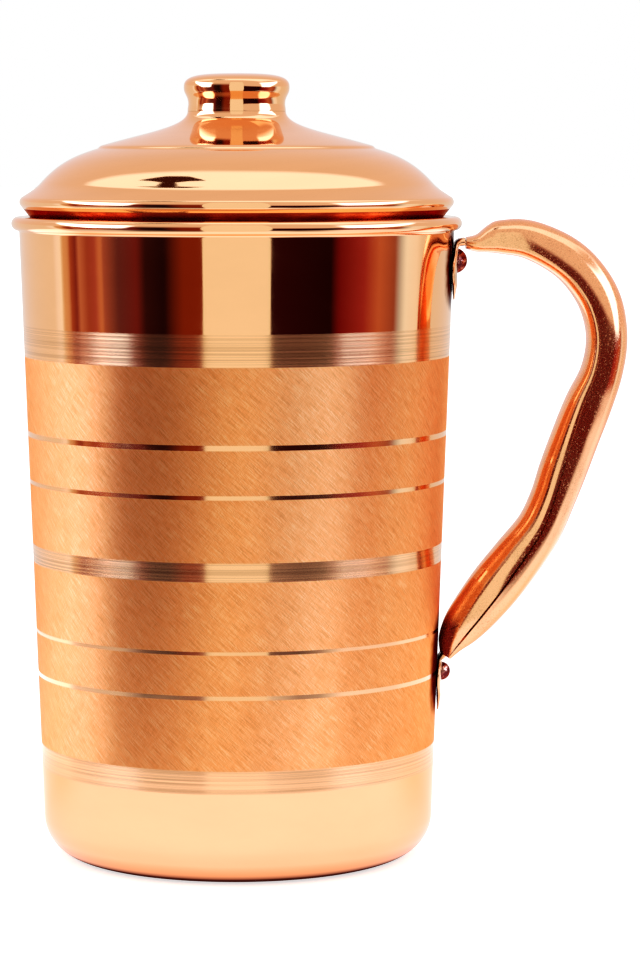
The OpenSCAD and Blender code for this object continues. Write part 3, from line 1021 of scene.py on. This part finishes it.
def side_lamps(n, room, x, y, z):
    """Low arches of light left and right, that widen away from the jug and
    end at a slanting back edge."""
    middle_y, least_half, widening = 0.12, 0.12, 0.62
    back_y, back_slope = -0.2, 1.15
    half = n.math("ADD", n.math("MULTIPLY", n.math("ABSOLUTE", x), widening), least_half)
    on_arch = n.edge(n.math("SUBTRACT", half, n.apart(y, middle_y)), 0.08)
    back_edge = n.math("ADD", n.math("MULTIPLY", z, back_slope), back_y)
    before_back = n.edge(n.math("SUBTRACT", back_edge, y), 0.06)
    low = n.spread(z, 0.62, 0.46, smooth=True)
    lamp = n.product(on_arch, before_back, n.edge(z, 0.04), low)
    light = n.mix(n.spread(x, -0.7, 0.7), dimmed(LEFT_LAMP), dimmed(RIGHT_LAMP))
    return n.mix(lamp, room, light)


def overhead_lamp(n, room, x, y, z):
    """A lamp across the top. Its back edge bows back at both ends, and its
    front edge only on the left."""
    bow, back_y, front_y = 0.9, 0.19, 0.22
    left = n.math("MINIMUM", x, 0)
    back_edge = n.math("ADD", n.product(x, x, bow), back_y)
    front_edge = n.math("SUBTRACT", n.product(left, left, bow), front_y)
    before_back = n.spread(n.math("SUBTRACT", back_edge, y), -0.06, 0.05, smooth=True)
    behind_front = n.edge(n.math("SUBTRACT", y, front_edge), 0.03)
    between_ends = n.spread(n.math("ABSOLUTE", x), 0.74, 0.56, smooth=True)
    high = n.spread(z, 0.4, 0.5, smooth=True)
    lamp = n.product(before_back, behind_front, between_ends, high)
    return n.mix(lamp, room, dimmed(OVERHEAD))


def dark_shape(n, room, x, y, z):
    """The photographer's dark shape across the overhead lamp: two bars joined
    by a waist. u runs across it and v along it."""
    cosine, sine = 0.8, 0.6
    middle_u, middle_v, half_length = -0.31, -0.165, 0.11
    waist_v, bars_off, bar_half, taper, waist_half = -0.19, 0.073, 0.193, 2.16, 0.035
    u = n.math("SUBTRACT", n.product(x, cosine), n.product(y, sine))
    v = n.math("ADD", n.product(x, sine), n.product(y, cosine))
    off_bars = n.apart(n.apart(v, waist_v), bars_off)
    half = n.math("SUBTRACT", bar_half, n.product(off_bars, taper))
    half = n.math("MAXIMUM", half, waist_half)
    across = n.math("LESS_THAN", n.apart(u, middle_u), half)
    along = n.math("LESS_THAN", n.apart(v, middle_v), half_length)
    shape = n.product(across, along, n.math("GREATER_THAN", z, 0.6))
    return n.mix(shape, room, dimmed(DARK_SHAPE))


def build_world():
    """White all round, but shiny metal mirrors a studio instead. x, y and z
    are the direction it is mirrored in: right, away from the camera, and up."""
    world = bpy.data.worlds.new("studio")
    bpy.context.scene.world = world
    n = Nodes(world)
    x, y, z = axes_of(n, n.add("ShaderNodeTexCoord").outputs["Generated"])
    room = tent_and_flags(n, x, y, z)
    for laid_over in (side_lamps, overhead_lamp, dark_shape):
        room = laid_over(n, room, x, y, z)
    scaled = n.add("ShaderNodeVectorMath", operation="SCALE")
    scaled.inputs["Scale"].default_value = BRIGHTEST
    n.link(room, scaled.inputs[0])
    path = n.add("ShaderNodeLightPath")
    final = n.mix(path.outputs["Is Glossy Ray"], (1.0, 1.0, 1.0), scaled.outputs[0])
    n.link(final, n.tree.nodes["Background"].inputs["Color"])


def plain_material(name, colour, emission):
    """A dull surface that also gives off light of its own."""
    n = Nodes(bpy.data.materials.new(name))
    sockets = n.shader.inputs
    sockets["Base Color"].default_value = (*colour, 1)
    sockets["Roughness"].default_value = 0.9
    sockets["Specular IOR Level"].default_value = 0.0
    sockets["Emission Color"].default_value = (*emission, 1)
    sockets["Emission Strength"].default_value = 1.0
    return n.owner


def table_light(name):
    """The lit table top as the metal mirrors it: even near the jug, with the
    room's pattern further out, and fading away."""
    n = Nodes(bpy.data.materials.new(name))
    n.tree.nodes.remove(n.shader)
    place = n.add("ShaderNodeTexCoord").outputs["Object"]
    length = n.add("ShaderNodeVectorMath", operation="LENGTH")
    n.link(place, length.inputs[0])
    radius = length.outputs["Value"]
    x, y, _ = axes_of(n, place)
    pattern = round_the_jug(n, x, y, [
        (deg, shaded(TABLE_TINT, light / TABLE_BRIGHTEST)) for deg, light in TABLE
    ])
    near = n.mix(n.spread(y, -0.03, 0.06, smooth=True),
                 shaded(NEAR_TINT, TABLE_NEAR / TABLE_BRIGHTEST),
                 shaded(NEAR_TINT_BEHIND, TABLE_NEAR / TABLE_BRIGHTEST))
    light = n.mix(n.spread(radius, 0.15, 0.25, smooth=True), near, pattern)
    shadow = n.ramp(n.spread(radius, CONTACT_FROM, CONTACT_TO), CONTACT)
    left_over = n.add("ShaderNodeVectorMath", operation="MULTIPLY")
    n.link(light, left_over.inputs[0])
    n.link(shadow, left_over.inputs[1])
    glow = n.add("ShaderNodeEmission")
    glow.inputs["Strength"].default_value = TABLE_BRIGHTEST
    n.link(left_over.outputs[0], glow.inputs["Color"])
    seen = n.product(n.spread(y, -0.34, -0.2, smooth=True),
                     n.spread(radius, 0.48, 0.36, smooth=True))
    clear = n.add("ShaderNodeBsdfTransparent")
    blend = n.add("ShaderNodeMixShader")
    n.link(seen, blend.inputs[0])
    n.link(clear.outputs[0], blend.inputs[1])
    n.link(glow.outputs[0], blend.inputs[2])
    n.link(blend.outputs[0], n.tree.nodes["Material Output"].inputs["Surface"])
    return n.owner


def stage_face(name, corners, material):
    """A single flat face that stands on the stage."""
    mesh = bpy.data.meshes.new(name)
    mesh.from_pydata(corners, [], [tuple(range(len(corners)))])
    mesh.materials.append(material)
    obj = bpy.data.objects.new(name, mesh)
    bpy.context.scene.collection.objects.link(obj)
    return obj


def disc(name, radius, z, material):
    """A flat round face at height z."""
    angles = [2 * math.pi * k / 96 for k in range(96)]
    corners = [(radius * math.cos(a), radius * math.sin(a), z) for a in angles]
    return stage_face(name, corners, material)


def mirrored_only(obj):
    """Leaves the object to be seen in shiny metal and nowhere else."""
    obj.visible_camera = False
    obj.visible_diffuse = False
    obj.visible_shadow = False


def build_floor():
    """Pale floor, bright enough to meet the white backdrop without a line, and
    the table top that the metal mirrors in its place."""
    floor_r, floor_z = 12.0, -0.0002
    table_r, table_z = 0.5, -0.0001
    pale = plain_material("pale_floor", (0.93, 0.93, 0.93), (0.6, 0.6, 0.6))
    floor = disc("floor", floor_r, floor_z, pale)
    floor.visible_glossy = False
    mirrored_only(disc("table_top", table_r, table_z, table_light("table_top")))


def build_card():
    """A tall white card close in front of the jug, which only shiny metal
    mirrors. Near as it is, the handle has it further to the left."""
    left, right, front, top = -0.05, 0.058, -0.2, 0.42
    corners = [(left, front, 0), (right, front, 0), (right, front, top), (left, front, top)]
    white = plain_material("front_card", (0, 0, 0), (1.0, 1.07, 1.08))
    mirrored_only(stage_face("front_card", corners, white))


def build_camera():
    """A long lens a little above the jug, looking slightly down."""
    scene = bpy.context.scene
    data = bpy.data.cameras.new("camera")
    data.lens = 136.3
    data.sensor_width = 36.0
    data.clip_start = 0.01
    camera = bpy.data.objects.new("camera", data)
    scene.collection.objects.link(camera)
    camera.location = (0.0222, -0.974, 0.194)
    pitch = 5.45
    camera.rotation_euler = (math.radians(90 - pitch), 0, 0)
    scene.camera = camera


def grade():
    """Punchy catalogue contrast: deeper shadows under unchanged highlights."""
    settings = bpy.context.scene.view_settings
    settings.view_transform = "Standard"
    settings.use_curve_mapping = True
    curve = settings.curve_mapping.curves[3]
    for x, y in ((0.03, 0.016), (0.12, 0.1), (0.35, 0.375), (0.7, 0.73)):
        curve.points.new(x, y)
    settings.curve_mapping.update()


build_camera()
body_materials = build_body()
build_lid(body_materials["polished"])
build_handle()
build_leaves()
build_world()
build_floor()
build_card()
grade()
